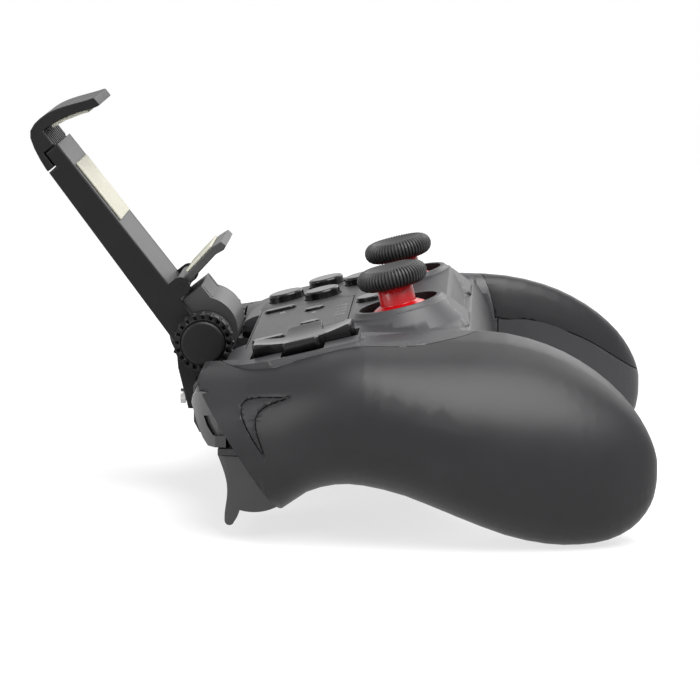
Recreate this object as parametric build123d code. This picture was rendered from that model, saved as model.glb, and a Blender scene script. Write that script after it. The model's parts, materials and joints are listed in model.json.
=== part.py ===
from build123d import *
import os
from math import copysign, cos, pi, radians, sin, tan

# Gamepad with a phone clamp, in millimetres.
# X runs to the player's right, Y away from the player and Z up.
# The origin is on the ground, under the middle of the object's box.

# Walls, fits and seams
wall = 2.0
seam = 0.3            # open line between neighbouring housing pieces
play = 0.35           # around a button or jaw that moves past a fixed edge
fit = 0.05            # radial, between a pin and its bore
seat = 0.05           # between a fixed piece and what it stands on

# Face plate: a plane that leans down towards the front
face_lean = 13.5
face_mid_y = 8.0
face_mid_z = 45.6
face_half_width = 59.0
face_front_y = 27.6
face_lip_z = 36.2     # underside of the lip over the bumpers
lip_round = 5.0       # the plate's front edge rounds down over this length
lip_fall = 2.2

# Centre of the housing
core_half_width = face_half_width - 13.0
core_front_y = 24.0
core_rear_y = -38.5
core_floor_z = 16.0
core_rear_top_z = 49.0
core_rear_arc_z = 36.0
core_rear_arc_y = -33.0
rear_slope = ((-26.2, 55.9), (-33.2, 49.2))   # the surface behind the sticks falls along this line, as (y, z)
parting_z = 34.0
parting_y = -39.8
cover_x = face_half_width + 1.0   # where the side covers begin
corner_start_y = 8.0
brow_low_z = face_lip_z + seam    # underside of the side cover over the bumper
# Seam of the side cover behind the plate, in plan: x from cover_x, y. Under grip_seam it follows the low line, so
# that the cover wraps over the grip's ridge and the bottom shell has its inner side.
cover_turn_y = -12.0
cover_joint = (-3.4, -25.5)
cover_joint_way = (-0.5, -0.87)
cover_low_line = [(-10.0, -37.5), (-11.6, -50.0), (-8.0, -62.0), (-3.2, -72.0), (-0.8, -80.0), (-0.4, -90.0)]
cover_high_line = [(-9.4, -33.2), (-16.4, -37.6), (-19.6, -43.0), (-20.6, -52.0), (-20.8, -90.0)]
grip_seam = [(-25.5, 42.2), (-37.0, 39.3), (-51.3, 36.6), (-62.0, 33.0), (-71.9, 26.8), (-79.0, 21.8), (-90.0, 14.0)]
# Seam of the plate's front corner: x from cover_x, y, and the way it faces
corner_line = [
    (0.0, 9.0, 1.0, 0.0),
    (-1.1, 15.0, 0.95, 0.3),
    (-4.6, 21.3, 0.8, 0.6),
    (-9.4, 25.4, 0.5, 0.87),
    (-15.5, 27.6, 0.2, 0.98),
    (-22.0, 28.2, 0.0, 1.0),
]

# Side front edge, a line through these two points in side view
slant_top = (32.6, 37.8)
slant_low = (11.9, 7.3)
brow_curve = [(33.3, 39.9), (31.3, 41.0), (27.0, 42.0)]   # on from slant_top, as a Bezier curve's points
brow_end = (10.0, 46.5)

# Grips: stations from front to rear, each (y, bottom, top, inner x, outer x, ridge, tilt), x from face_half_width.
# The ridge is where the top lies between the sides, as a share; tilt is how far the top falls outwards.
grip_stations = [
    (34.0, 3.0, 40.6, -35.0, 6.5, 0.5, 0.0),
    (20.0, 4.0, 42.3, -29.0, 9.8, 0.5, 0.0),
    (12.0, 7.2, 44.1, -26.0, 12.7, 0.5, 0.0),
    (6.0, 11.6, 45.5, -25.0, 14.6, 0.5, 0.0),
    (-1.0, 13.8, 47.1, -24.0, 16.3, 0.48, 0.0),
    (-8.0, 13.8, 48.4, -23.0, 17.5, 0.44, 0.03),
    (-18.0, 11.6, 48.7, -21.5, 18.6, 0.34, 0.1),
    (-30.0, 6.9, 48.3, -19.2, 19.0, 0.25, 0.17),
    (-42.0, 2.4, 47.2, -16.8, 18.2, 0.2, 0.2),
    (-52.0, 0.3, 45.0, -14.5, 16.6, 0.2, 0.2),
    (-60.0, 0.1, 41.9, -12.4, 14.7, 0.22, 0.18),
    (-67.0, 1.2, 37.7, -10.1, 12.2, 0.26, 0.15),
    (-72.5, 3.9, 32.8, -7.7, 9.2, 0.34, 0.1),
    (-76.0, 7.6, 27.8, -5.2, 6.5, 0.42, 0.05),
    (-77.9, 11.5, 23.5, -2.8, 3.9, 0.5, 0.0),
    (-78.6, 15.5, 20.5, -0.8, 1.8, 0.5, 0.0),
]
grip_fullness = 2.32  # 2 is an ellipse, more is squarer
grip_outer_waist = 0.42   # height of the widest point, as a share
grip_inner_waist = 0.55
grip_quarter_steps = 7

# Hook shape engraved in the side covers, as (y, z)
hook_front = [(9.4, 37.1), (14.0, 36.5), (18.2, 35.9), (21.0, 34.6), (21.4, 32.6), (20.4, 29.8), (18.4, 26.4),
              (15.5, 22.4)]
hook_rear = [(15.5, 22.4), (16.9, 26.4), (17.7, 29.2), (17.7, 31.6), (16.5, 33.4), (13.8, 35.1), (9.4, 37.1)]
hook_line_width = 0.36
hook_line_depth = 0.35

# Sticks
stick_x = 25.0
stick_v = -24.2
stick_opening_radius = 10.0
tower_top_radius = 11.0
tower_top_w = 2.1
tower_foot_w = -6.0
plinth_w = 0.9
plinth_radius = 12.5
plinth_foot_w = -8.0
plinth_foot_radius = 15.5
pivot_w = -9.0
stem_radius = 4.5
shaft_radius = 2.0
dome_radius = 12.0
dome_wall = 1.0
dome_half_angle = 40.0
cap_radius = 8.75
cap_low_w = 6.4
cap_height = 4.9
cap_dish = 1.3

# Circuit board and what stands on it
board_w = -15.5       # its upper face
board_thickness = 1.6
board_half_width = face_half_width - 1.0
board_front_v = 13.2
board_rear_v = -39.0
membrane_thickness = 0.9
dome_height = 0.9
button_travel = 1.0
small_travel = 0.7

# Face buttons and D-pad
button_x = face_half_width - 16.5
button_v = -1.4
button_pitch = 10.5
button_radius = 4.75
button_top_w = 2.1
button_rim = 0.85     # how far a button's flange stands out
button_flange = 1.4
button_edge = 0.7
button_stalk_radius = 3.0
small_rim = 0.9
small_flange = 1.0
small_edge = 0.3
small_stalk_radius = 1.4
small_dome_radius = 2.2
dome_gap = 0.1        # between a button's foot, pressed down, and its dome's top
dpad_x = 14.9 - face_half_width
dpad_v = -0.8
dpad_half_length = 12.6
dpad_half_width = 4.4
dpad_top_w = 3.0
dpad_clearance = 1.0
dpad_pivot_w = -8.0
dpad_disc_radius = 10.2
dpad_disc_low_w = -4.6
dpad_disc_top_w = -3.2
dpad_corner = 0.8
dpad_edge = 0.6
dpad_dish_radius = 48.0
dpad_dish_depth = 1.5
dpad_hub_radius = 5.8
dpad_stalk_radius = 2.6
dpad_foot_reach = 8.0
dpad_foot_radius = 1.5
dpad_foot_gap = 0.75
dpad_base_radius = 3.2
dpad_pin_radius = 2.0
dpad_rest = 11.5      # half the width of its membrane

# Centre panel and its buttons
panel_front_half = face_half_width - 29.0
panel_rear_half = panel_front_half - 10.0
panel_front_v = 15.2
panel_rear_v = -10.5
panel_thickness = 1.0
bar_x = panel_front_half - 6.0
bar_v = 9.8
bar_length = 8.2
bar_width = 3.2
oval_x = 11.5
oval_v = -0.2
oval_length = 4.9
oval_width = 3.2
home_v = -16.4
home_radius = 4.0
light_v = -7.7
light_pitch = 5.0
light_length = 3.0
light_width = 1.2
light_guide_width = 2.8
light_guide_thickness = 1.6

# Bumpers
bumper_outer_x = face_half_width + 0.5
bumper_rear_y = 25.6
bumper_front_y = 36.0
bumper_end_y = 28.2
bumper_low_z = 22.7
bumper_top_z = face_lip_z - 0.4
bumper_wall = 2.0
bumper_solid_end = 9.0
bumper_edge = 0.5

# Triggers and their bays
trigger_outer_x = face_half_width - 1.2
trigger_inner_x = trigger_outer_x - 22.6
trigger_side_gap = 0.8
trigger_pin_y = 18.0
trigger_pin_z = 17.2
trigger_pin_radius = 1.5
trigger_hub_radius = 2.7
trigger_hub_length = 9.3
trigger_corner = 3.6
trigger_web_radius = 10.6
trigger_web_thickness = 1.6
trigger_top_z = 20.2
bay_roof_z = 20.8
bay_roof_thickness = 1.6
bay_rear_y = 6.6
bay_wall = 1.4

# Clamp hinge
arm_half_width = 13.0
ear_inner_x = arm_half_width + 0.9
ear_outer_x = ear_inner_x + 5.0
scoop_half_width = ear_outer_x + 4.5
bridge_half_width = face_half_width - 28.5
bumper_inner_x = bridge_half_width + 0.5
hinge_y = 34.3
hinge_z = 41.9
arm_angle = 52.0
scoop_radius = 11.2
bridge_front_y = 36.0
bridge_low_z = 19.5
bridge_edge = 0.5
ear_edge = 0.4
ear_radius = 7.2
leg_low_z = 24.7
bolt_radius = 2.0
ring_radius = 7.4
ring_bore = 5.8
ring_width = 2.3
ring_windows = 20
ring_window_depth = 0.7
ring_bead_radius = 0.45
cap_disc_radius = 5.6
cap_disc_height = 3.4

# Clamp arm, drawn along s (up the arm) and n (towards the phone)
arm_cheek = 1.4
arm_hub_radius = 7.0
arm_edge = 0.5
flip_edge = 0.3
arm_top_s = 61.8
arm_shoulder_s = 57.4
arm_face_n = 1.0
arm_cover_low_n = 0.3
arm_back_low_n = -7.2
arm_back_top_n = -5.3
arm_tongue_n = -2.9
barrel_s = 1.6
barrel_n = 0.4
barrel_radius = 8.8
slider_low_n = -2.0
slider_top_n = 0.1
slider_half_width = arm_half_width - 1.6
pad_half_width = arm_half_width - 3.0
slider_low_s = 24.0
jaw_travel = 30.0
jaw_inner_s = 66.7
pad_thickness = 0.6
pad_low_s = 36.8
pad_top_s = 55.0
flip_s = 14.2
flip_n = 3.1
flip_angle = 81.0
flip_length = 15.4
flip_radius = 1.9
flip_pin_radius = 0.8
lug_thickness = 1.2

# Power, motors, fasteners
battery_half_width = 14.0
battery_front_y = 5.0
battery_rear_y = -26.0
battery_height = 7.0
motor_x = cover_x
motor_z = 24.5
motor_radius = 7.5
motor_front_y = -34.0
motor_rear_y = -52.0
motor_shaft_radius = 1.0
weight_radius = 8.6
weight_length = 6.0
rib_thickness = 2.0
screw_radius = 1.2
screw_head_radius = 2.4
screw_head_height = 1.6
screw_tip_w = -8.0
post_radius = 2.8
posts = [(17.5, -5.0, -29.5), (9.5, -34.0, -35.5)]   # x, v and the w of the screw head's seat
leg_screw_x = ear_inner_x + 2.5
leg_screw_radius = 1.0
leg_screw_head_radius = 1.9
leg_screw_seat_y = 39.2
leg_screw_depth = 6.0
leg_screw_z = 27.5
socket_half_width = 4.5
socket_low_z = 20.7
socket_height = 3.2
socket_rear_y = 28.0
socket_wall = 0.35
socket_tongue_gap = 1.2

face_frame = Plane(
    origin=(0, face_mid_y, face_mid_z),
    x_dir=(1, 0, 0),
    z_dir=(0, sin(radians(face_lean)), cos(radians(face_lean))),
)
arm_frame = Plane(
    origin=(0, hinge_y, hinge_z),
    x_dir=(1, 0, 0),
    z_dir=(0, -sin(radians(arm_angle)), cos(radians(arm_angle))),
)
standing = (Align.CENTER, Align.CENTER, Align.MIN)
far = 120.0           # reaches past the object


def on_face(shape, x=0.0, v=0.0, w=0.0):
    """A shape drawn along x, v (to the front) and w (off the face), placed on the face plate."""
    return face_frame.location * Pos(x, v, w) * shape


def on_arm(shape):
    return arm_frame.location * shape


def block(x0, x1, y0, y1, z0, z1):
    size = Box(x1 - x0, y1 - y0, z1 - z0, align=(Align.MIN, Align.MIN, Align.MIN))
    return Pos(x0, y0, z0) * size


def rod(radius, z0, z1, x=0.0, y=0.0):
    return Pos(x, y, z0) * Cylinder(radius, z1 - z0, align=standing)


def rod_x(radius, x0, x1, y, z):
    return Pos(x0, y, z) * Rot(0, 90, 0) * Cylinder(radius, x1 - x0, align=standing)


def rod_y(radius, y0, y1, x, z):
    return Pos(x, y1, z) * Rot(90, 0, 0) * Cylinder(radius, y1 - y0, align=standing)


def sideways(outline, x0, x1):
    """A side view, drawn as (y, z), stretched from x0 to x1."""
    return extrude(Plane.YZ.offset(x0) * outline, amount=x1 - x0, dir=(1, 0, 0))


def upright(outline, z0, z1):
    """A plan, drawn as (x, y), stretched from z0 to z1."""
    return extrude(Pos(0, 0, z0) * outline, amount=z1 - z0, dir=(0, 0, 1))


def side_prism(points, x0, x1):
    return sideways(make_face(Polyline(*points, close=True)), x0, x1)


def slot_block(length, width, z0, z1):
    """An oblong along v, standing from z0 to z1."""
    return upright(Rot(0, 0, 90) * SlotOverall(length, width), z0, z1)


def round_ends(shape, radius):
    """Rounds the edges of the two faces that look along x."""
    ends = shape.faces().filter_by(Axis.X).sort_by(Axis.X)
    return fillet([*ends[0].edges(), *ends[-1].edges()], radius)


def other_side(shape):
    return mirror(shape, about=Plane.YZ)


def both(shape):
    return shape + other_side(shape)


def face_z(y):
    return face_mid_z - (y - face_mid_y) * tan(radians(face_lean))


def grip_levels():
    """The grip's stations and, between each two, a point on the smooth curve through them."""
    levels = [grip_stations[0]]
    for step in range(len(grip_stations) - 1):
        near, end = grip_stations[step], grip_stations[step + 1]
        before = grip_stations[max(step - 1, 0)]
        after = grip_stations[min(step + 2, len(grip_stations) - 1)]
        middle = [(9 * (b + c) - a - d) / 16 for a, b, c, d in zip(before, near, end, after)]
        levels += [middle, end]
    return levels


def grip_point(angle, y, low, high, inner, outer, ridge, tilt):
    """A point of a grip's section, at an angle round it."""
    c, s = round(cos(angle), 9), round(sin(angle), 9)
    mid_x = inner + (ridge if s > 0 else 0.5) * (outer - inner)
    mid_z = low + (grip_outer_waist if c > 0 else grip_inner_waist) * (high - low)
    half_x = outer - mid_x if c > 0 else mid_x - inner
    half_z = high - mid_z if s > 0 else mid_z - low
    x = mid_x + half_x * copysign(abs(c) ** (2 / grip_fullness), c)
    z = mid_z + half_z * copysign(abs(s) ** (2 / grip_fullness), s)
    fall = tilt * (x - (inner + outer) / 2) * (z - low) / (high - low)
    return x, y, z - fall


def quarter(turn, station):
    """A quarter of a grip's section, from turn times 90 degrees on."""
    directions = [(0, 0, 1), (-1, 0, station[-1]), (0, 0, -1), (1, 0, 0)]
    angles = [pi / 2 * (turn + step / grip_quarter_steps) for step in range(grip_quarter_steps + 1)]
    points = [grip_point(angle, *station) for angle in angles]
    return Spline(*points, tangents=(directions[turn], directions[(turn + 1) % 4])).edges()[0]


def grip_form(inset):
    """The right grip, or its inside when inset is the wall."""
    sections = []
    for y, low, high, inner, outer, ridge, tilt in grip_levels():
        sides = (face_half_width + inner + inset, face_half_width + outer - inset)
        station = (y, low + inset, high - inset, *sides, ridge, tilt)
        if min(outer - inner, high - low) / 2 - inset > 1.0 + inset / 4:
            sections.append(make_face([quarter(turn, station) for turn in range(4)]))
    return loft(sections, ruled=True)


def core_outline(rear_y, inset):
    """Side view of the centre housing, from the face plate round the floor."""
    top_z = core_rear_top_z - inset
    floor_z = core_floor_z + inset
    front_y = core_front_y - inset
    back_y = core_rear_y + inset
    lean = radians(face_lean)
    drop = inset / cos(lean)
    flat_y = face_mid_y - (core_rear_top_z - face_mid_z) / tan(lean)
    top = (flat_y, top_z)
    low = [(front_y, bay_roof_z), (front_y - 4.0, floor_z)]
    if inset:
        corners = [(front_y, face_z(front_y) - drop), *low]
        plate = [Line(top, corners[0])]
    else:
        bend_y = face_front_y - lip_round
        edge_z = face_z(face_front_y)
        bend_end = (face_front_y, edge_z - lip_fall)
        corners = [bend_end, (face_front_y, face_lip_z), (front_y, face_lip_z), *low]
        bend = Bezier((bend_y, face_z(bend_y)), (face_front_y, edge_z), bend_end)
        plate = [Line(top, (bend_y, face_z(bend_y))), bend]
    if rear_y > core_rear_arc_y:
        rest = Polyline(*corners, (rear_y, floor_z), (rear_y, top_z), top)
        return make_face([*plate, *rest.edges()])
    arc_y = core_rear_arc_y + 0.8 * inset
    roof = Line((arc_y, top_z), top)
    lower = Polyline(
        *corners,
        (back_y + 6.5, floor_z),
        (back_y, floor_z + 5.0),
        (back_y, core_rear_arc_z),
    )
    arc = ThreePointArc(
        (back_y, core_rear_arc_z),
        (back_y + 1.8, top_z - 5.5),
        (arc_y, top_z),
    )
    return make_face([roof, *plate, *lower.edges(), *arc.edges()])


def core_form(inset):
    half = core_half_width - inset
    narrow = sideways(core_outline(core_rear_y, inset), -half, half)
    half = face_half_width - inset
    return narrow + sideways(core_outline(-6.5, inset), -half, half)


def before_slope(inset):
    """Everything under and in front of the slope behind the sticks."""
    (y0, z0), (y1, z1) = rear_slope
    rise = (z0 - z1) / (y0 - y1)
    reach = 20.0
    high = (y0 + 1.4 * inset + reach, z0 + reach * rise)
    low = (y1 + 1.4 * inset - reach, z1 - reach * rise)
    outline = Polyline(high, low, (far, low[1]), (far, high[1]), close=True)
    return sideways(make_face(outline), -far, far)


def plinth_form(inset):
    """Raised oblong under both sticks."""
    span = 2 * stick_x
    top = Pos(0, stick_v, plinth_w - inset) * SlotCenterToCenter(span, 2 * (plinth_radius - inset))
    foot = Pos(0, stick_v, plinth_foot_w) * SlotCenterToCenter(span, 2 * (plinth_foot_radius - inset))
    return on_face(loft([foot, top])) & before_slope(inset)


def tower_form(inset):
    drop = 1.3 * inset
    height = tower_top_w - tower_foot_w
    cone = Cone(tower_top_radius + height, tower_top_radius, height, align=standing)
    return both(on_face(cone, stick_x, stick_v, tower_foot_w - drop) & before_slope(inset))


def front_of_slant(shift):
    """Everything in front of the slanted side edge and over the brow that it ends in."""
    rise = (slant_top[0] - slant_low[0]) / (slant_top[1] - slant_low[1])
    low_z = -20.0
    low = (slant_low[0] + (low_z - slant_low[1]) * rise - shift, low_z)
    top = (slant_top[0] - shift, slant_top[1])
    bend = [(y - shift, z) for y, z in brow_curve]
    brow = Bezier(top, *bend)
    rear_y = brow_end[0] - shift
    rest = Polyline(bend[-1], (rear_y, brow_end[1]), (rear_y, far), (far, far), (far, low_z), low, top)
    return sideways(make_face([*brow.edges(), *rest.edges()]), -far, far)


def cover_space(gap):
    """Room of the right side cover, its edge moved outwards by gap."""
    x = cover_x + gap
    corner = [(cover_x + a + gap * p, y + gap * q) for a, y, p, q in corner_line]
    bend = Spline(*reversed(corner), tangents=((1, 0), (0, -1)))
    straight = Line(corner[0], (x, cover_turn_y))
    joint = (x + cover_joint[0], cover_joint[1])
    turn = Spline((x, cover_turn_y), joint, tangents=((0, -1), cover_joint_way))
    rear = [(x + a, y) for a, y in cover_low_line]
    edge = Spline(joint, *rear, tangents=(cover_joint_way, (0, -1)))
    rest = Polyline(rear[-1], (far, rear[-1][1]), (far, far), (bumper_inner_x, far),
                    (bumper_inner_x, corner[-1][1]), corner[-1])
    pieces = [straight, *bend.edges(), *turn.edges(), *edge.edges(), *rest.edges()]
    outside = upright(make_face(pieces), -far, far)

    inner = [(x + a, y) for a, y in cover_high_line]
    edge = Spline(joint, *inner, tangents=(cover_joint_way, (0, -1)))
    rest = Polyline(inner[-1], (far, inner[-1][1]), (far, joint[1]), joint)
    plan = upright(make_face([*edge.edges(), *rest.edges()]), -far, far)
    line = [(y, z + gap) for y, z in grip_seam]
    rest = Polyline(line[-1], (line[-1][0], far), (line[0][0], far), line[0])
    above = sideways(make_face([*Spline(*line).edges(), *rest.edges()]), 0, far)
    return outside + (plan & above)


def panel_outline(gap, w0, w1):
    corners = [
        (-panel_front_half - gap, panel_front_v + gap),
        (panel_front_half + gap, panel_front_v + gap),
        (panel_rear_half + gap, panel_rear_v - gap),
        (-panel_rear_half - gap, panel_rear_v - gap),
    ]
    return upright(make_face(Polyline(*corners, close=True)), w0, w1)


def scoop(gap):
    """Room round the clamp's hinge."""
    return rod_x(scoop_radius + gap, -scoop_half_width, scoop_half_width, hinge_y, hinge_z)


def cross(half_length, half_width, w0, w1):
    along = block(-half_length, half_length, -half_width, half_width, w0, w1)
    across = block(-half_width, half_width, -half_length, half_length, w0, w1)
    return along + across


button_places = {
    "south_button": (button_x, button_v - button_pitch),
    "north_button": (button_x, button_v + button_pitch),
    "west_button": (button_x - button_pitch, button_v),
    "east_button": (button_x + button_pitch, button_v),
}
bar_places = {"turbo_button": (-bar_x, bar_v), "clear_button": (bar_x, bar_v)}
oval_places = {"select_button": (-oval_x, oval_v), "start_button": (oval_x, oval_v)}
dpad_feet = [(dpad_foot_reach, 0), (-dpad_foot_reach, 0), (0, dpad_foot_reach), (0, -dpad_foot_reach)]
light_places = [((step - 1.5) * light_pitch, light_v) for step in range(4)]


def small_holes(gap, w0, w1):
    """Holes for the bars, the ovals and the light windows."""
    holes = []
    for x, v in bar_places.values():
        holes.append(Pos(x, v, 0) * slot_block(bar_length + 2 * gap, bar_width + 2 * gap, w0, w1))
    for x, v in oval_places.values():
        holes.append(Pos(x, v, 0) * slot_block(oval_length + 2 * gap, oval_width + 2 * gap, w0, w1))
    for x, v in light_places:
        holes.append(Pos(x, v, 0) * slot_block(light_length + 2 * seat, light_width + 2 * seat, w0, w1))
    return holes


def front_holes():
    """Everything that is cut through the face plate."""
    reach = 6.0
    cuts = [
        on_face(cross(dpad_half_length + dpad_clearance, dpad_half_width + dpad_clearance, -reach, reach),
                dpad_x, dpad_v),
        on_face(rod(home_radius + play, -reach, reach, 0, home_v)),
        on_face(panel_outline(seam / 2, -panel_thickness - seat, reach)),
    ]
    for side in (-1, 1):
        cuts.append(on_face(rod(stick_opening_radius, -reach, reach, side * stick_x, stick_v)))
    for x, v in button_places.values():
        cuts.append(on_face(rod(button_radius + play, -reach, reach, x, v)))
        cuts.append(on_face(rod(button_radius + button_rim + play, board_w, -wall, x, v)))
    cuts.append(on_face(rod(home_radius + button_rim + play, board_w, plinth_w - wall, 0, home_v)))
    return cuts


def post_pair(x, v, radius, w0, w1):
    return both(on_face(rod(radius, w0, w1, x, v)))


def make_housing():
    """Cover, top shell and bottom shell without their openings."""
    grip = grip_form(0)
    cavity = grip_form(wall) - front_of_slant(wall)
    rear = block(0, far, -far, cover_turn_y, -far, far)
    skin = grip + (core_form(0) & rear) - cavity - (core_form(wall) & rear)
    cover = (skin & cover_space(seam / 2)) - front_of_slant(0)
    cover = cover - block(0, cover_x + seam / 2, corner_start_y, far, -far, brow_low_z)

    grip = grip - block(0, far, face_front_y, far, -far, far) - cover_space(-seam / 2)
    grip = grip - block(0, far, core_front_y, far, -far, face_lip_z)
    cavity = cavity - block(0, far, core_front_y - wall, far, -far, far)
    outer = core_form(0) + both(grip) + plinth_form(0) + tower_form(0)
    inner = core_form(wall) + both(cavity) + plinth_form(wall) + tower_form(wall)
    over_lip = block(-far, far, corner_start_y, far, face_lip_z, far)
    outer = outer - (both(cover_space(-seam / 2)) & over_lip) - both(cover_space(-seam / 2) & rear)
    inner = inner - (both(cover_space(-seam / 2 - wall)) & over_lip)
    middle = outer - inner
    upper = block(-far, far, parting_y, far, parting_z, far)
    lower_gap = block(-far, far, parting_y - seam, far, parting_z - seam, far)
    return cover, middle & upper, middle - lower_gap, outer


def make_top_shell(form):
    shell = form
    for cut in front_holes():
        shell = shell - cut
    for hole in small_holes(play, -6.0, 6.0):
        shell = shell - on_face(hole)
    shell = shell - scoop(0)
    for x, v, head_w in posts:
        top_w = -wall + 0.2 if v > stick_v else plinth_w - wall + 0.2
        shell = shell + post_pair(x, v, post_radius, board_w + seat, top_w)
        shell = shell - post_pair(x, v, screw_radius, board_w - 1.0, screw_tip_w + 0.5)
    return shell


def bay_room():
    """Room of the right trigger."""
    return block(trigger_inner_x - trigger_side_gap, trigger_outer_x + trigger_side_gap,
                 bay_rear_y, far, -far, bay_roof_z)


def make_bottom_shell(form, whole):
    x0 = trigger_inner_x - trigger_side_gap - bay_wall
    x1 = cover_x - seam / 2
    roof_top = bay_roof_z + bay_roof_thickness
    walls = block(x0, x1, bay_rear_y - bay_wall, core_front_y, 0, roof_top) & whole
    walls = walls - front_of_slant(0) - bay_room()
    roof = block(x0, x1, bay_rear_y - bay_wall, face_front_y, bay_roof_z, roof_top)
    floor_gap = block(x0, x1, bay_rear_y, far, -far, bay_roof_z)
    shell = form - both(floor_gap)
    for x, v, head_w in posts:
        pillar = post_pair(x, v, post_radius, -60.0, board_w - board_thickness - seat)
        shell = shell + (pillar & whole)
    shell = shell + both(walls) + both(roof)
    for x, v, head_w in posts:
        shell = shell - post_pair(x, v, screw_radius + 2 * fit, -60.0, 0.0)
        shell = shell - post_pair(x, v, screw_head_radius + 2 * fit, -60.0, head_w)
    pin = rod_x(trigger_pin_radius + fit, x0 - 1.0, x1 + 1.0, trigger_pin_y, trigger_pin_z)
    return shell - both(pin)


def hook_line(x0, x1):
    """The engraved line on a side cover: the outline of a hook shape in side view."""
    front = Spline(*hook_front)
    rear = Spline(*hook_rear)
    line = sideways(trace(front, hook_line_width), x0, x1)
    return line + sideways(trace(rear, hook_line_width), x0, x1)


def make_cover(form):
    """Right side cover with its engraved line and the two ribs that hold the motor."""
    groove = hook_line(cover_x, far) - grip_form(hook_line_depth)
    cover = form - groove
    inside = grip_form(wall - 0.1) & cover_space(seam / 2)
    for y in (motor_front_y - 3.0, motor_rear_y + 3.0 + rib_thickness):
        rib = block(cover_x - 20.0, far, y - rib_thickness, y, 0, far) & inside
        cover = cover + (rib - rod_y(motor_radius + fit, y - 10.0, y + 10.0, motor_x, motor_z))
    return cover


def make_center_panel():
    panel = on_face(panel_outline(-seam / 2, -panel_thickness, 0.0)) - scoop(seam)
    for hole in small_holes(play, -3.0, 3.0):
        panel = panel - on_face(hole)
    return panel


def make_board():
    plate = block(-board_half_width, board_half_width, board_rear_v, board_front_v,
                  board_w - board_thickness, board_w)
    for x, v, head_w in posts:
        for side in (-1, 1):
            plate = plate - rod(screw_radius + 4 * fit, -30.0, 0.0, side * x, v)
    return on_face(plate)


def make_housing_screws():
    screws = []
    for x, v, head_w in posts:
        screw = rod(screw_radius, head_w - 0.5, screw_tip_w, x, v)
        screw = screw + rod(screw_head_radius, head_w - screw_head_height, head_w - seat, x, v)
        screws += [on_face(screw), other_side(on_face(screw))]
    return Compound(children=screws)


def make_membrane(places, areas, dome_width=2.6):
    """Rubber sheet on the board with a dome under each button; areas are (x0, x1, v0, v1)."""
    low = board_w + seat
    sheet = block(*areas[0], low, low + membrane_thickness)
    for area in areas[1:]:
        sheet = sheet + block(*area, low, low + membrane_thickness)
    for x, v in places:
        sheet = sheet + rod(dome_width, low, low + membrane_thickness + dome_height, x, v)
    for x, v, head_w in posts:
        for side in (-1, 1):
            sheet = sheet - rod(post_radius + play, -30.0, 0.0, side * x, v)
    return on_face(sheet)


dome_top_w = board_w + seat + membrane_thickness + dome_height


def make_button(x, v):
    foot_w = dome_top_w + button_travel + dome_gap
    flange_w = -wall - play
    low_w = flange_w - button_flange
    head = fillet(rod(button_radius, low_w, button_top_w).edges().sort_by(Axis.Z)[-1], button_edge)
    flange = rod(button_radius + button_rim, low_w, flange_w)
    return on_face(head + flange + rod(button_stalk_radius, foot_w, flange_w - button_flange / 2), x, v)


def make_small_button(x, v, length, width, top_w, under_w):
    """A button of the centre, oblong along v; under_w is the wall face that its flange stays below."""
    foot_w = dome_top_w + small_travel + dome_gap
    flange_w = under_w - play
    low_w = flange_w - small_flange
    if length > width:
        head = slot_block(length, width, low_w, top_w)
        flange = slot_block(length + 2 * small_rim, width + 2 * small_rim, low_w, flange_w)
    else:
        head = rod(length / 2, low_w, top_w)
        flange = rod(length / 2 + small_rim, low_w, flange_w)
    head = fillet(head.edges().group_by(Axis.Z)[-1], small_edge)
    return on_face(head + flange + rod(small_stalk_radius, foot_w, flange_w - small_flange / 2), x, v)


def make_light_guide():
    half = light_guide_width / 2
    reach = light_pitch * 2
    guide = block(-reach, reach, light_v - half, light_v + half, -wall - light_guide_thickness, -wall - seat)
    for x, v in light_places:
        guide = guide + Pos(x, v, 0) * slot_block(light_length, light_width, -wall - light_guide_thickness, 0.0)
    return on_face(guide)


def make_dpad():
    arms = cross(dpad_half_length, dpad_half_width, -1.0, dpad_top_w)
    arms = fillet(arms.edges().filter_by(Axis.Z), dpad_corner)
    arms = fillet(arms.edges().group_by(Axis.Z)[-1], dpad_edge)
    dish = Pos(0, 0, dpad_top_w + dpad_dish_radius - dpad_dish_depth) * Sphere(dpad_dish_radius)
    disc = rod(dpad_disc_radius, dpad_disc_low_w, dpad_disc_top_w)
    pad = arms - dish + rod(dpad_hub_radius, dpad_disc_top_w, 0.0) + disc
    pad = pad + rod(dpad_stalk_radius, dpad_pivot_w + 0.4, dpad_disc_top_w)
    for x, v in dpad_feet:
        pad = pad + rod(dpad_foot_radius, dome_top_w + dpad_foot_gap, dpad_disc_top_w, x, v)
    return on_face(pad, dpad_x, dpad_v)


def make_dpad_pivot():
    low = board_w + seat + membrane_thickness + 0.35
    pivot = rod(dpad_base_radius, low, dpad_pivot_w - 1.2)
    pivot = pivot + rod(dpad_pin_radius, dpad_pivot_w - 1.5, dpad_pivot_w + 0.1)
    return on_face(pivot, dpad_x, dpad_v)


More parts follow.
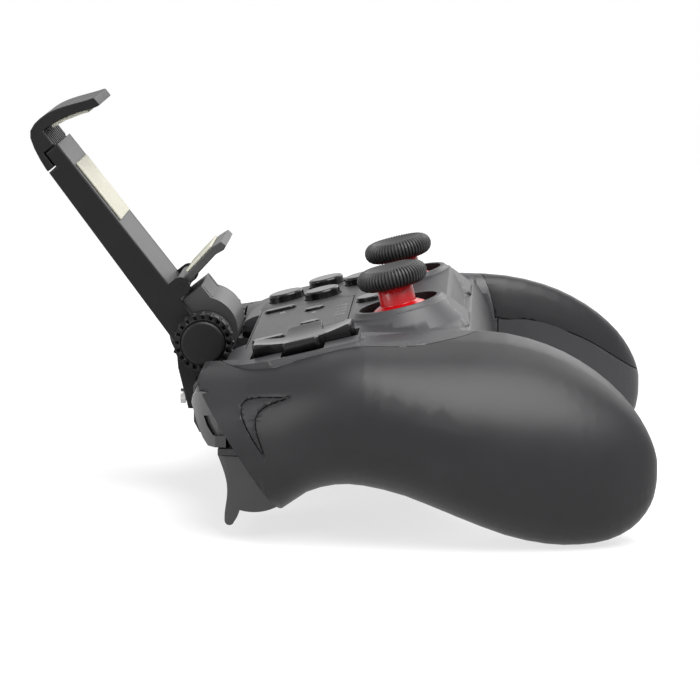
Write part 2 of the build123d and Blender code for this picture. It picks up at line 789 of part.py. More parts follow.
def make_stick_pieces():
    """Module, gimbal, pivot, stem and cap of a stick, drawn round its pivot."""
    outside, inside, deck = 8.7, 7.3, -5.2 - pivot_w
    low = board_w + seat - pivot_w
    module = block(-outside, outside, -outside, outside, low, deck)
    module = module - block(-inside, inside, -inside, inside, low + 1.2, deck + 1.0)
    module = module + block(outside, outside + 3.0, -4.5, 4.5, low, deck - 2.0)
    module = module + block(-4.5, 4.5, -outside - 3.0, -outside, low, deck - 2.0)
    pin_radius, small_pin = 1.0, 0.8
    module = module - rod_x(pin_radius + fit, -outside - 0.1, outside + 0.1, 0, 0)

    ring_out, ring_in, half = 6.6, 5.4, 1.5
    gimbal = block(-ring_out, ring_out, -ring_out, ring_out, -half, half)
    gimbal = gimbal - block(-ring_in, ring_in, -ring_in, ring_in, -half - 1, half + 1)
    gimbal = gimbal - rod_y(small_pin + fit, -ring_out - 1, ring_out + 1, 0, 0)
    gimbal = gimbal + rod_x(pin_radius, ring_out - 0.5, outside - 0.2, 0, 0)
    gimbal = gimbal + rod_x(pin_radius, -outside + 0.2, -ring_out + 0.5, 0, 0)

    cube = 4.8
    pivot = block(-cube, cube, -cube, cube, -half, half)
    pivot = pivot + rod_y(small_pin, -ring_out + 0.2, ring_out - 0.2, 0, 0)
    pivot = pivot - rod(shaft_radius + fit, -half - 1, half + 1)

    cap_low = cap_low_w - pivot_w
    dome_edge = dome_radius * cos(radians(dome_half_angle))
    dome = Sphere(dome_radius) & rod(dome_radius, dome_edge, dome_radius)
    stem = dome - Sphere(dome_radius - dome_wall) + rod(stem_radius, dome_radius - 3.0, cap_low - seat)
    stem = stem + rod(shaft_radius, -3.2, dome_radius - 2.0) + rod(2.6, cap_low - 0.5, cap_low + 2.6)

    cap = rod(cap_radius, cap_low, cap_low + cap_height)
    cap = fillet(cap.edges().filter_by(GeomType.CIRCLE), cap_height / 2 - 0.15)
    dish_radius = 15.5
    cap = cap - Pos(0, 0, cap_low + cap_height + dish_radius - cap_dish) * Sphere(dish_radius)
    cap = cap - rod(2.6 + fit, cap_low - 1.0, cap_low + 2.7)
    names = ("stick_module", "stick_gimbal", "stick_pivot", "stick_stem", "stick_cap")
    return dict(zip(names, (module, gimbal, pivot, stem, cap)))


def bumper_plan(inset):
    x0, x1 = bumper_inner_x + inset, bumper_outer_x - inset
    near, end = bumper_front_y - inset, bumper_end_y - inset
    front = ThreePointArc((x0, near), (bumper_inner_x + 18.0, near - 1.3), (x1, end))
    rest = Polyline((x1, end), (x1, bumper_rear_y), (x0, bumper_rear_y), (x0, near))
    return upright(make_face([*front.edges(), *rest.edges()]), 0.0, 60.0)


def make_bumper():
    face = [(bumper_rear_y, bumper_low_z), (30.2, bumper_low_z), (31.6, 24.3), (32.9, 26.7), (34.1, 29.7),
            (34.9, 31.8), (34.6, 33.4), (33.6, 34.7), (32.2, 35.5), (30.8, bumper_top_z),
            (bumper_rear_y, bumper_top_z)]
    body = side_prism(face, bumper_inner_x, bumper_outer_x) & bumper_plan(0)
    end = body.faces().sort_by(Axis.X)[0].edges()
    body = fillet(end.filter_by(lambda edge: edge.center().Y > bumper_rear_y + bumper_edge), bumper_edge)
    room = [(bumper_rear_y - 1, bumper_low_z + bumper_wall), (29.0, bumper_low_z + bumper_wall),
            (31.6, 29.5), (31.9, 32.0), (30.6, bumper_top_z - bumper_wall),
            (bumper_rear_y - 1, bumper_top_z - bumper_wall)]
    body = body - side_prism(room, bumper_inner_x + bumper_wall, bumper_outer_x - bumper_solid_end)
    window = side_prism([(31.3, 29.8), (28.6, 30.5), (25.7, 25.6), (28.8, 25.6), (30.3, 27.5)],
                        bumper_outer_x - bumper_solid_end - 0.5, far)
    return body - (window - bumper_plan(0.6))


def make_trigger():
    x0, x1 = trigger_inner_x, trigger_outer_x
    front = Spline((27.8, trigger_top_z), (26.5, 17.0), (25.6, 13.4), (25.6, 10.0), (26.1, 6.6), (26.2, 4.4))
    tip = ThreePointArc((26.2, 4.4), (25.1, 3.1), (23.9, 3.9))
    rear_side = Spline((23.9, 3.9), (22.5, 6.8), (22.1, 10.5), (22.5, 14.6), (23.6, trigger_top_z))
    top = Line((23.6, trigger_top_z), (27.8, trigger_top_z))
    paddle = make_face([*front.edges(), *tip.edges(), *rear_side.edges(), top])
    plan = Pos((x0 + x1) / 2, 15.0) * Rectangle(x1 - x0, 27.6)
    plan = fillet(plan.vertices().group_by(Axis.Y)[-1], trigger_corner)
    body = sideways(paddle, x0, x1) & upright(plan, -5.0, 55.0)
    rear = (8.4, 12.7)
    low = (22.6, 6.9)
    arc = ThreePointArc(low, (14.2, 7.4), rear)
    rest = Polyline(rear, (16.6, 19.5), (18.0, 19.9), (24.2, trigger_top_z), (23.3, 14.0), low)
    web = make_face([*arc.edges(), *rest.edges()])
    t = trigger_web_thickness
    body = body + sideways(web, x0, x0 + t) + sideways(web, x1 - t, x1)
    skin = sideways(web, x0, x1)
    skin = skin - rod_x(trigger_web_radius - t, x0 - 1, x1 + 1, trigger_pin_y, trigger_pin_z)
    skin = skin & block(x0, x1, -far, far, -far, trigger_pin_z - 4.0)
    body = body + skin
    for a, b in ((x0, x0 + trigger_hub_length), (x1 - trigger_hub_length, x1)):
        body = body + rod_x(trigger_hub_radius, a, b, trigger_pin_y, trigger_pin_z)
    return body - rod_x(trigger_pin_radius + fit, x0 - 1, x1 + 1, trigger_pin_y, trigger_pin_z)


def make_coil(radius, wire, pitch, turns):
    """An open coil standing on the origin."""
    path = Helix(pitch=pitch, height=pitch * turns, radius=radius)
    start = Plane(origin=path @ 0, z_dir=path % 0)
    return sweep(start * Circle(wire), path=path)


def make_bridge():
    rear_y, top_z = core_front_y + seat, face_lip_z - play
    side = [(rear_y, top_z), (rear_y, bridge_low_z), (30.5, bridge_low_z), (34.6, 20.8),
            (bridge_front_y, 23.5), (bridge_front_y, 32.5), (33.6, 35.0), (31.5, top_z)]
    body = round_ends(side_prism(side, -bridge_half_width, bridge_half_width), bridge_edge) - scoop(0)
    hole = block(-socket_half_width - fit, socket_half_width + fit, core_front_y, far,
                 socket_low_z - fit, socket_low_z + socket_height + fit)
    body = body - hole
    for side_x in (-leg_screw_x, leg_screw_x):
        bore = rod_y(leg_screw_radius, bridge_front_y - leg_screw_depth - 1.0, far, side_x, leg_screw_z)
        body = body - bore
    return body


def make_clamp_base():
    leg_rear = bridge_front_y + seat
    ear = [(hinge_y + 7.1, hinge_z - 0.6), (40.9, 35.1), (38.4, leg_low_z), (leg_rear, leg_low_z),
           (leg_rear, 32.6), (hinge_y - 4.6, hinge_z - 5.4), (hinge_y, hinge_z)]
    right = side_prism(ear, ear_inner_x, ear_outer_x)
    right = right + rod_x(ear_radius, ear_inner_x, ear_outer_x, hinge_y, hinge_z)
    right = fillet(right.faces().filter_by(Axis.X).sort_by(Axis.X)[-1].edges(), ear_edge)
    plate = block(-ear_outer_x, ear_outer_x, leg_rear, 38.2, leg_low_z, 30.3)
    base = both(right) + plate - rod_x(bolt_radius + fit, -far, far, hinge_y, hinge_z)
    for side_x in (-leg_screw_x, leg_screw_x):
        base = base - rod_y(leg_screw_radius + fit, 0.0, far, side_x, leg_screw_z)
        head_room = leg_screw_head_radius + 2 * fit
        base = base - rod_y(head_room, leg_screw_seat_y - seat, far, side_x, leg_screw_z)
    return base


def make_leg_screws():
    screws = []
    for side_x in (-leg_screw_x, leg_screw_x):
        head = rod_y(leg_screw_head_radius, leg_screw_seat_y, leg_screw_seat_y + 1.2, side_x, leg_screw_z)
        shank = rod_y(leg_screw_radius - fit, bridge_front_y - leg_screw_depth, leg_screw_seat_y + 0.2,
                      side_x, leg_screw_z)
        screws.append(head + shank)
    return Compound(children=screws)


def make_hinge_pieces():
    inner, outer = ear_outer_x + seat, ear_outer_x + seat + ring_width
    ring = rod_x(ring_radius, inner, outer, hinge_y, hinge_z)
    ring = ring - rod_x(ring_bore, inner - 1, outer + 1, hinge_y, hinge_z)
    axis = Pos(0, hinge_y, hinge_z)
    for step in range(ring_windows):
        turn = Rot(360.0 * step / ring_windows, 0, 0)
        window = block(outer - ring_window_depth, outer + 1, -0.45, 0.45, ring_bore + 0.3, ring_radius - 0.4)
        ring = ring - axis * turn * window
        ring = ring + axis * turn * rod_x(ring_bead_radius, inner + 0.3, outer - 0.3, 0, ring_radius)
    disc = rod_x(cap_disc_radius, inner, inner + cap_disc_height, hinge_y, hinge_z)
    disc = fillet(disc.edges().group_by(Axis.X)[-1], 0.8)
    disc = disc - rod_x(4.0, inner - 1, inner + 2.0, hinge_y, hinge_z)
    bolt = rod_x(bolt_radius, -inner - 1.0, inner, hinge_y, hinge_z)
    bolt = bolt + rod_x(3.6, inner, inner + 1.5, hinge_y, hinge_z)
    nut = Plane.YZ.offset(-inner - 1.6) * Pos(hinge_y, hinge_z) * RegularPolygon(3.6, 6)
    nut = extrude(nut, amount=1.6) - rod_x(bolt_radius + fit, -far, 0, hinge_y, hinge_z)
    return {"hinge_rings": both(ring), "hinge_caps": both(disc), "hinge_bolt": bolt, "hinge_nut": nut}


def make_arm():
    half = arm_half_width
    side = [(0.0, arm_back_low_n), (arm_shoulder_s, arm_back_top_n), (arm_shoulder_s, arm_tongue_n),
            (arm_top_s, arm_tongue_n), (arm_top_s, arm_face_n), (0.0, arm_face_n)]
    body = round_ends(side_prism(side, -half, half) + rod_x(arm_hub_radius, -half, half, 0, 0), arm_edge)
    inner = half - arm_cheek
    root = barrel_s + barrel_radius + play
    body = body - block(-inner, inner, -far, root, -far, far)
    body = body - block(-inner, inner, root + 2.0, far, arm_cover_low_n, far)
    room = slider_half_width + play / 2
    body = body - block(-room, room, slider_low_s - 8.0, far, slider_low_n - play / 2, far)
    lug = rod_x(flip_radius + 0.5, half - lug_thickness, half, flip_s, flip_n)
    lug = lug + block(half - lug_thickness, half, flip_s - 2.4, flip_s + 2.4, 0.0, flip_n)
    body = body + both(lug)
    body = body - rod_x(flip_pin_radius, -half, half, flip_s, flip_n)
    return on_arm(body - rod_x(bolt_radius + fit, -half - 1, half + 1, 0, 0))


def make_arm_cover():
    inner = arm_half_width - arm_cheek - seat
    root = barrel_s + barrel_radius + play + 2.0 + seat
    return on_arm(block(-inner, inner, root, arm_top_s, arm_cover_low_n + seat, arm_face_n))


def make_barrel():
    inner = arm_half_width - arm_cheek - 2 * seat
    barrel = rod_x(barrel_radius, -inner, inner, barrel_s, barrel_n)
    barrel = barrel + block(-inner, inner, 6.2, 11.1, 0.5, 7.2)
    barrel = barrel - block(-far, far, 10.4, far, -far, arm_face_n + seat)
    for x in (2.2 - inner, inner - 2.2):
        barrel = barrel - block(x - 0.4, x + 0.4, 6.8, 10.5, 6.3, 8.0)
    return on_arm(barrel - rod_x(bolt_radius + fit, -inner - 1, inner + 1, 0, 0))


def make_slider():
    low, high = slider_low_n, slider_top_n
    plate = block(-slider_half_width, slider_half_width, slider_low_s, jaw_inner_s - seat, low, high)
    plate = plate - block(-2.4, 2.4, slider_low_s - 1, slider_low_s + jaw_travel, low - 1, high + 1)
    for step in range(9):
        x = (step - 4) * 2.5
        plate = plate - block(x - 0.6, x + 0.6, arm_shoulder_s + 1.0, jaw_inner_s + 1, high - 0.8, high + 1)
    return on_arm(plate)


def make_clamp_spring():
    coil = make_coil(0.75, 0.2, 1.8, 20)
    lay = Pos(0, slider_low_s - 7.5, slider_low_n + 1.0) * Rot(-90, 0, 0)
    return on_arm(lay * coil)


def make_upper_jaw():
    back = [(57.8, -5.4), (61.4, -5.0), (64.5, -4.4), (67.2, -3.5), (68.6, -2.4), (69.3, -0.7)]
    outer = Spline((69.3, -0.7), (69.3, 4.6), (67.7, 9.6), (65.3, 15.7))
    under = Spline((62.9, 15.7), (63.2, 14.2), (64.6, 10.6), (66.1, 5.6), (jaw_inner_s, 1.0))
    tip = Line((65.3, 15.7), (62.9, 15.7))
    room_n = arm_tongue_n - play
    root = Polyline((jaw_inner_s, 1.0), (jaw_inner_s, room_n), (57.8, room_n), *back)
    side = make_face([*root.edges(), *outer.edges(), *tip.edges(), *under.edges()])
    jaw = sideways(side, -arm_half_width, arm_half_width)
    cheek = block(slider_half_width + seat, arm_half_width, arm_top_s + play, jaw_inner_s + 0.5,
                  arm_tongue_n - play, slider_top_n)
    return jaw + both(cheek)


def make_upper_jaw_pad(jaw):
    t = 0.8
    under = [(66.5, 2.4), (66.0, 6.0), (64.6, 10.6), (63.9, 12.2)]
    low = [(s - t, n) for s, n in under]
    high = [(s + t, n) for s, n in reversed(under)]
    band = side_prism([*low, *high], -pad_half_width - 1.0, pad_half_width + 1.0)
    return band - Pos(0, -seat, 0) * jaw


def flip_frame():
    return Pos(0, flip_s, flip_n) * Rot(flip_angle, 0, 0)


def make_lower_jaw():
    half = arm_half_width - lug_thickness - play
    side = [(0.0, -1.0), (flip_length - 2.7, -1.0), (flip_length, -0.3), (flip_length, 1.3),
            (flip_length - 1.2, 1.7), (flip_length - 3.4, 1.0), (0.0, 1.0)]
    plate = round_ends(side_prism(side, -half, half), flip_edge) + rod_x(flip_radius, -half, half, 0, 0)
    return on_arm(flip_frame() * (plate - rod_x(flip_pin_radius + fit, -half - 1, half + 1, 0, 0)))


def make_lower_jaw_pad():
    pad = block(-pad_half_width, pad_half_width, 3.4, flip_length - 3.0, -1.7, -1.02)
    return on_arm(flip_frame() * pad)


def make_motor():
    body = rod_y(motor_radius, motor_rear_y, motor_front_y, motor_x, motor_z)
    body = body + rod_y(2.6, motor_rear_y - 0.8, motor_rear_y + 0.1, motor_x, motor_z)
    shaft_end = motor_rear_y - 2.0 - weight_length
    return body + rod_y(motor_shaft_radius, shaft_end, motor_rear_y, motor_x, motor_z)


def make_weight():
    y1 = motor_rear_y - 1.3
    y0 = y1 - weight_length
    half_disc = rod_y(weight_radius, y0, y1, motor_x, motor_z) - block(-far, far, -far, far, motor_z, far)
    weight = half_disc + rod_y(2.4, y0, y1, motor_x, motor_z)
    return weight - rod_y(motor_shaft_radius + fit, y0 - 1, y1 + 1, motor_x, motor_z)


def make_socket():
    x, z0, z1 = socket_half_width, socket_low_z, socket_low_z + socket_height
    t, air = socket_wall, socket_tongue_gap
    shell = block(-x, x, socket_rear_y, bridge_front_y - seam, z0, z1)
    shell = shell - block(-x + t, x - t, socket_rear_y + 1.5, far, z0 + t, z1 - t)
    tongue = block(-x + air, x - air, socket_rear_y + 1.0, bridge_front_y - 1.5, z0 + 1.3, z1 - 1.3)
    return shell + tongue


def build_parts():
    parts = {}
    cover, top_form, bottom_form, whole = make_housing()
    parts["top_shell"] = make_top_shell(top_form)
    parts["bottom_shell"] = make_bottom_shell(bottom_form, whole)
    right_cover = make_cover(cover)
    parts["right_grip"] = right_cover
    parts["left_grip"] = other_side(right_cover)
    parts["center_panel"] = make_center_panel()
    parts["front_bridge"] = make_bridge()
    parts["main_pcb"] = make_board()
    floor = core_floor_z + wall + seat
    parts["battery"] = block(-battery_half_width, battery_half_width, battery_rear_y, battery_front_y,
                             floor, floor + battery_height)
    parts["usb_socket"] = make_socket()
    parts["housing_screws"] = make_housing_screws()
    parts["clamp_screws"] = make_leg_screws()
    parts["motors"] = both(make_motor())
    parts["right_motor_weight"] = make_weight()
    parts["left_motor_weight"] = other_side(make_weight())
    stick = make_stick_pieces()
    parts["stick_modules"] = both(on_face(stick.pop("stick_module"), stick_x, stick_v, pivot_w))
    for name, shape in stick.items():
        right = on_face(shape, stick_x, stick_v, pivot_w)
        parts["right_" + name] = right
        parts["left_" + name] = other_side(right)
    parts["dpad"] = make_dpad()
    parts["dpad_pivot"] = make_dpad_pivot()
    edge_v = board_front_v - 0.5
    places = [(dpad_x + x, dpad_v + v) for x, v in dpad_feet]
    area = (dpad_x - dpad_rest, dpad_x + dpad_rest, dpad_v - dpad_rest, edge_v)
    parts["dpad_membrane"] = make_membrane(places, [area])
    for name, (x, v) in button_places.items():
        parts[name] = make_button(x, v)
    reach = button_pitch + 3.6
    area = (button_x - reach, button_x + reach, button_v - reach, edge_v)
    parts["button_membrane"] = make_membrane(button_places.values(), [area])
    for name, (x, v) in bar_places.items():
        parts[name] = make_small_button(x, v, bar_length, bar_width, 0.7, -wall)
    for name, (x, v) in oval_places.items():
        parts[name] = make_small_button(x, v, oval_length, oval_width, 0.6, -wall)
    size = 2 * home_radius
    parts["home_button"] = make_small_button(0, home_v, size, size, 2.0, plinth_w - wall)
    small = [*bar_places.values(), *oval_places.values()]
    areas = [(-13.5, 13.5, home_v - 4.0, edge_v), (-bar_x - 3.0, bar_x + 3.0, oval_v - 3.0, edge_v)]
    parts["center_membrane"] = make_membrane([*small, (0, home_v)], areas, small_dome_radius)
    parts["led_guide"] = make_light_guide()
    for name, shape in (("bumper", make_bumper()), ("trigger", make_trigger())):
        parts["right_" + name] = shape
        parts["left_" + name] = other_side(shape)
    pin_x0 = trigger_inner_x - trigger_side_gap - bay_wall + 0.2
    pin = rod_x(trigger_pin_radius, pin_x0, cover_x - 0.4, trigger_pin_y, trigger_pin_z)
    parts["trigger_pins"] = both(pin)
    coil = make_coil(trigger_pin_radius + 0.75, 0.35, 0.8, 3)
    spring_x = trigger_inner_x + trigger_hub_length + 0.8
    spring = Pos(spring_x, trigger_pin_y, trigger_pin_z) * Rot(0, 90, 0) * coil
    parts["trigger_springs"] = both(spring)
    parts["clamp_base"] = make_clamp_base()
    parts.update(make_hinge_pieces())
    parts["clamp_arm"] = make_arm()
    parts["arm_cover"] = make_arm_cover()
    parts["hinge_barrel"] = make_barrel()
    parts["arm_pad"] = on_arm(block(-pad_half_width, pad_half_width, pad_low_s, pad_top_s,
                                   arm_face_n + 0.02, arm_face_n + pad_thickness))
    parts["jaw_slider"] = make_slider()
    parts["clamp_spring"] = make_clamp_spring()
    jaw = make_upper_jaw()
    parts["upper_jaw"] = on_arm(jaw)
    parts["upper_jaw_pad"] = on_arm(make_upper_jaw_pad(jaw))
    parts["lower_jaw"] = make_lower_jaw()
    parts["lower_jaw_pad"] = make_lower_jaw_pad()
    half = arm_half_width
    parts["lower_jaw_pin"] = on_arm(rod_x(flip_pin_radius - 0.02, -half, half, flip_s, flip_n))
    return parts


os.makedirs("parts", exist_ok=True)
for name, shape in build_parts().items():
    export_step(shape, f"parts/{name}.step")
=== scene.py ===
import json
from math import cos, pi, radians, sin

import bmesh
import bpy
from mathutils import Matrix, Vector


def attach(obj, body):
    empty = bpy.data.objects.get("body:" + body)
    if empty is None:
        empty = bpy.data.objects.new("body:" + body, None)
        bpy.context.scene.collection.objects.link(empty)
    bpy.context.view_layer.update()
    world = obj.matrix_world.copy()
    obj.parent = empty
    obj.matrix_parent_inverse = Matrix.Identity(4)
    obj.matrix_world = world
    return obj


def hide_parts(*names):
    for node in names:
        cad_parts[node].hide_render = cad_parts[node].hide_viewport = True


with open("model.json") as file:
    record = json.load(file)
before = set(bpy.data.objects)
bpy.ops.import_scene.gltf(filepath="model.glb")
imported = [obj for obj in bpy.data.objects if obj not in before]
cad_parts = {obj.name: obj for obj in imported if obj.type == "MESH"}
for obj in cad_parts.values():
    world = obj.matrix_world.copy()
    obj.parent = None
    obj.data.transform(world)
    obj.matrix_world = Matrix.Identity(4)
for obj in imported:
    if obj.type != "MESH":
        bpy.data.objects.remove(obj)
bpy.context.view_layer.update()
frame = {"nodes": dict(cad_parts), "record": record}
nodes = frame["nodes"]
record = frame["record"]
slotOf = {part["node"]: part["material_slot"] for part in record["subparts"]}
bodyOf = {node: body for body, group in record["behaviour"]["bodies"].items() for node in group}
print("frame loaded:", len(nodes), "nodes")

mm = 0.001
facePlate = {"lean": 13.5, "y": 8.0, "z": 45.6}   # the plane of the buttons: degrees and mm


def addObject(name, data):
    thing = bpy.data.objects.new(name, data)
    bpy.context.scene.collection.objects.link(thing)
    return thing


def takeMesh(holder):
    # the plain mesh that an object's modifiers give; the object itself goes
    bpy.context.view_layer.update()
    graph = bpy.context.evaluated_depsgraph_get()
    mesh = bpy.data.meshes.new_from_object(holder.evaluated_get(graph))
    bpy.data.objects.remove(holder)
    return mesh


# camera at the photograph's angle: place and clip in metres, lens and sensor in mm
view = {
    "place": (-0.88945, -0.04049, 0.1874), "right": (0.04334, -0.99907, 0.0),
    "up": (0.16662, 0.00723, 0.98600), "lens": 180.0, "sensor": 36.0, "clip": (0.05, 60.0),
}


def makeCamera():
    right, up = Vector(view["right"]).normalized(), Vector(view["up"]).normalized()
    turn = Matrix((right, up, right.cross(up))).transposed().to_4x4()
    data = bpy.data.cameras.new("camera")
    data.lens, data.sensor_width = view["lens"], view["sensor"]
    data.clip_start, data.clip_end = view["clip"]
    camera = addObject("camera", data)
    camera.matrix_world = Matrix.Translation(view["place"]) @ turn
    bpy.context.scene.camera = camera


makeCamera()
bpy.context.scene.view_settings.view_transform = "Standard"
print("camera placed")


class Wire:
    # a socket that can be reckoned with: each operator adds a Math node
    def __init__(self, lab, socket):
        self.lab, self.socket = lab, socket

    def __add__(self, other):
        return self.lab.maths("ADD", self, other)

    def __sub__(self, other):
        return self.lab.maths("SUBTRACT", self, other)

    def __mul__(self, other):
        return self.lab.maths("MULTIPLY", self, other)

    def __truediv__(self, other):
        return self.lab.maths("DIVIDE", self, other)

    def __radd__(self, other):
        return self.lab.maths("ADD", other, self)

    def __rsub__(self, other):
        return self.lab.maths("SUBTRACT", other, self)

    def __rmul__(self, other):
        return self.lab.maths("MULTIPLY", other, self)

    def clamp(self):
        return self.lab.add("Clamp", {}, {"Value": self})


class Lab:
    # a shader tree and the one call that adds a node to it
    def __init__(self, tree):
        self.tree = tree
        tree.nodes.clear()

    def add(self, kind, settings=None, inputs=None, out=0):
        node = self.tree.nodes.new("ShaderNode" + kind)
        for key, value in (settings or {}).items():
            if key == "stops":
                self.setStops(node.color_ramp.elements, value)
            else:
                setattr(node, key, value)
        for key, value in (inputs or {}).items():
            if isinstance(value, Wire):
                self.tree.links.new(value.socket, node.inputs[key])
            else:
                node.inputs[key].default_value = value
        return Wire(self, node.outputs[out]) if node.outputs else None

    def setStops(self, elements, stops):
        while len(elements) < len(stops):
            elements.new(0.5)
        for element, (place, color) in zip(elements, stops):
            element.position, element.color = place, color

    def maths(self, operation, first, second=0.0):
        return self.add("Math", {"operation": operation}, {0: first, 1: second})

    def shift(self, color, other, amount):
        # from one color to another by amount
        return self.add("Mix", {"data_type": "RGBA"}, {0: amount, 6: color, 7: other}, 2)

    def rise(self, value, begins, full):
        # dark below begins, white above full
        return self.add("ValToRGB", {"stops": [(begins, tone(0.0)), (full, tone(1.0))]}, {"Fac": value})


def newLab(name):
    material = bpy.data.materials.new(name)
    material.use_nodes = True
    return material, Lab(material.node_tree)


def tone(value, tint=(1.0, 1.0, 1.0)):
    return (value * tint[0], value * tint[1], value * tint[2], 1.0)


# plastics and rubbers: grain is the texture's size and depth in mm, gloss the strength of the clear
# reflection, and light the color where the surface is handled
finishes = {
    "soft_grip": {
        "color": tone(0.010, (1, 0.98, 1.08)), "light": tone(0.014, (1, 0.98, 1.08)), "rough": 0.42,
        "spread": 0.05, "grain": (0.22, 0.006), "gloss": 0.22, "coat": 0.0},
    "shell": {
        "color": tone(0.020, (1, 0.98, 1.06)), "light": tone(0.028, (1, 0.98, 1.06)), "rough": 0.42,
        "spread": 0.06, "grain": (0.3, 0.012), "gloss": 0.35, "coat": 0.0},
    "panel": {
        "color": tone(0.014), "light": tone(0.020), "rough": 0.4,
        "spread": 0.06, "grain": (0.35, 0.012), "gloss": 0.45, "coat": 0.0},
    "button": {
        "color": tone(0.005), "light": tone(0.008), "rough": 0.2,
        "spread": 0.05, "grain": (0.6, 0.003), "gloss": 0.25, "coat": 0.05},
    "trigger": {
        "color": tone(0.030, (1, 1, 1.03)), "light": tone(0.04, (1, 1, 1.03)), "rough": 0.3,
        "spread": 0.06, "grain": (0.4, 0.006), "gloss": 0.35, "coat": 0.1},
    "stick_rubber": {
        "color": tone(0.010), "light": tone(0.018), "rough": 0.5,
        "spread": 0.1, "grain": (0.2, 0.012), "gloss": 0.4, "coat": 0.0},
    "stick_red": {
        "color": (0.40, 0.0, 0.003, 1), "light": (0.50, 0.002, 0.006, 1), "rough": 0.3,
        "spread": 0.05, "grain": (0.8, 0.004), "gloss": 0.35, "coat": 0.2},
    "clamp_black": {
        "color": tone(0.004, (1, 1, 1.04)), "light": tone(0.007, (1, 1, 1.04)), "rough": 0.42,
        "spread": 0.08, "grain": (0.3, 0.012), "gloss": 0.2, "coat": 0.0},
    "clamp_grey": {
        "color": tone(0.026, (1, 1, 1.02)), "light": tone(0.036, (1, 1, 1.02)), "rough": 0.42,
        "spread": 0.07, "grain": (0.3, 0.012), "gloss": 0.35, "coat": 0.0},
    "pad": {
        "color": (0.36, 0.35, 0.29, 1), "light": (0.43, 0.42, 0.36, 1), "rough": 0.7,
        "spread": 0.08, "grain": (0.3, 0.02), "gloss": 0.3, "coat": 0.0},
    "inner_rubber": {
        "color": tone(0.4), "light": tone(0.45), "rough": 0.6,
        "spread": 0.05, "grain": (0.4, 0.01), "gloss": 0.5, "coat": 0.0},
    "wrap": {
        "color": (0.02, 0.05, 0.22, 1), "light": (0.03, 0.07, 0.28, 1), "rough": 0.25,
        "spread": 0.05, "grain": (1.5, 0.02), "gloss": 0.5, "coat": 0.5},
    "window": {
        "color": tone(0.09), "light": tone(0.12), "rough": 0.3,
        "spread": 0.05, "grain": (0.6, 0.003), "gloss": 0.5, "coat": 0.3},
}
# noise of the fine grain and of the broad marks, and the roughness of a clear coat
moulding = {"grain": {"Detail": 3.0, "Roughness": 0.6}, "wear": {"Detail": 4.0, "Roughness": 0.55},
            "coatRough": 0.12}
# broad handling marks in mm: where they begin and are full, how strong they are, and the grain's share
wear = {"size": 20.0, "begins": 0.42, "full": 0.72, "strength": 0.6, "grainShare": 0.3}
# the panel's fine dents, with painted shade darkening their colour, and the short marks beside its buttons:
# places and half sizes in face plate mm
pattern = {
    "pitch": 0.8, "depth": 0.05, "begins": 0.35, "full": 0.6, "shade": tone(0.008), "paintedShadeShare": 0.5,
    "ink": tone(0.35), "marks": [
        (18.6, 9.3, 0.8, 0.16), (18.6, 8.5, 0.8, 0.16), (-18.6, 9.3, 0.8, 0.16), (-18.6, 8.5, 0.8, 0.16),
        (6.4, -0.2, 0.5, 0.5), (-6.4, -0.2, 0.5, 0.16), (-6.4, 0.5, 0.5, 0.16), (-6.4, -0.9, 0.5, 0.16)],
}


def addPanelPattern(lab, place, color, bump):
    toPlate = {"Vector": place, "Location": (0, facePlate["y"] * mm, facePlate["z"] * mm),
               "Rotation": (-radians(facePlate["lean"]), 0, 0)}
    turned = lab.add("Mapping", {"vector_type": "TEXTURE"}, toPlate)
    across, along = (lab.add("SeparateXYZ", {}, {"Vector": turned}, axis) / mm for axis in (0, 1))
    ways = (across + along, across - along)
    waves = [lab.maths("SINE", way * (2 * pi / pattern["pitch"])) for way in ways]
    dents = lab.rise(waves[0] * waves[1] * 0.5 + 0.5, pattern["begins"], pattern["full"])
    relief = {"Distance": pattern["depth"] * mm, "Height": dents, "Normal": bump}
    deeper = lab.add("Bump", {"invert": True}, relief)
    inked = 0.0
    for x, v, halfX, halfV in pattern["marks"]:
        inX = lab.maths("LESS_THAN", lab.maths("ABSOLUTE", across - x), halfX)
        inV = lab.maths("LESS_THAN", lab.maths("ABSOLUTE", along - v), halfV)
        inked = inX * inV + inked
    # painted shade: the colour inside the dents is pulled toward the dark shade tone, standing in for the
    # shade that falls in them
    paintedShadeColor = lab.shift(color, pattern["shade"], dents * pattern["paintedShadeShare"])
    return lab.shift(paintedShadeColor, pattern["ink"], inked), deeper


def makeMoulded(name, look):
    material, lab = newLab(name)
    place = lab.add("TexCoord", {}, {}, "Object")
    grainSize, grainDepth = look["grain"]
    grain = lab.add("TexNoise", {}, {"Vector": place, "Scale": 1 / (grainSize * mm), **moulding["grain"]})
    broad = lab.add("TexNoise", {}, {"Vector": place, "Scale": 1 / (wear["size"] * mm), **moulding["wear"]})
    marks = lab.rise(broad, wear["begins"], wear["full"])
    mottled = (marks * wear["strength"] + grain * wear["grainShare"]).clamp()
    color = lab.shift(look["color"], look["light"], mottled)
    spread = look["spread"]
    rough = (look["rough"] + (broad - 0.5) * spread * 2 + (grain - 0.5) * spread).clamp()
    bump = lab.add("Bump", {}, {"Strength": 1.0, "Distance": grainDepth * mm, "Height": grain})
    if name == "panel":
        color, bump = addPanelPattern(lab, place, color, bump)
    surface = lab.add("BsdfPrincipled", {}, {
        "Base Color": color, "Roughness": rough, "Normal": bump, "Specular IOR Level": look["gloss"],
        "Coat Weight": look["coat"], "Coat Roughness": moulding["coatRough"]})
    lab.add("OutputMaterial", {}, {"Surface": surface})
    return material


# steel: streak is the width and length of the drawing marks in mm, depth their depth
metal = {"color": tone(0.52, (1, 0.98, 0.95)), "dark": tone(0.38), "rough": 0.28, "spread": 0.2,
         "streak": (0.15, 6.0), "depth": 0.01, "relief": 0.4}


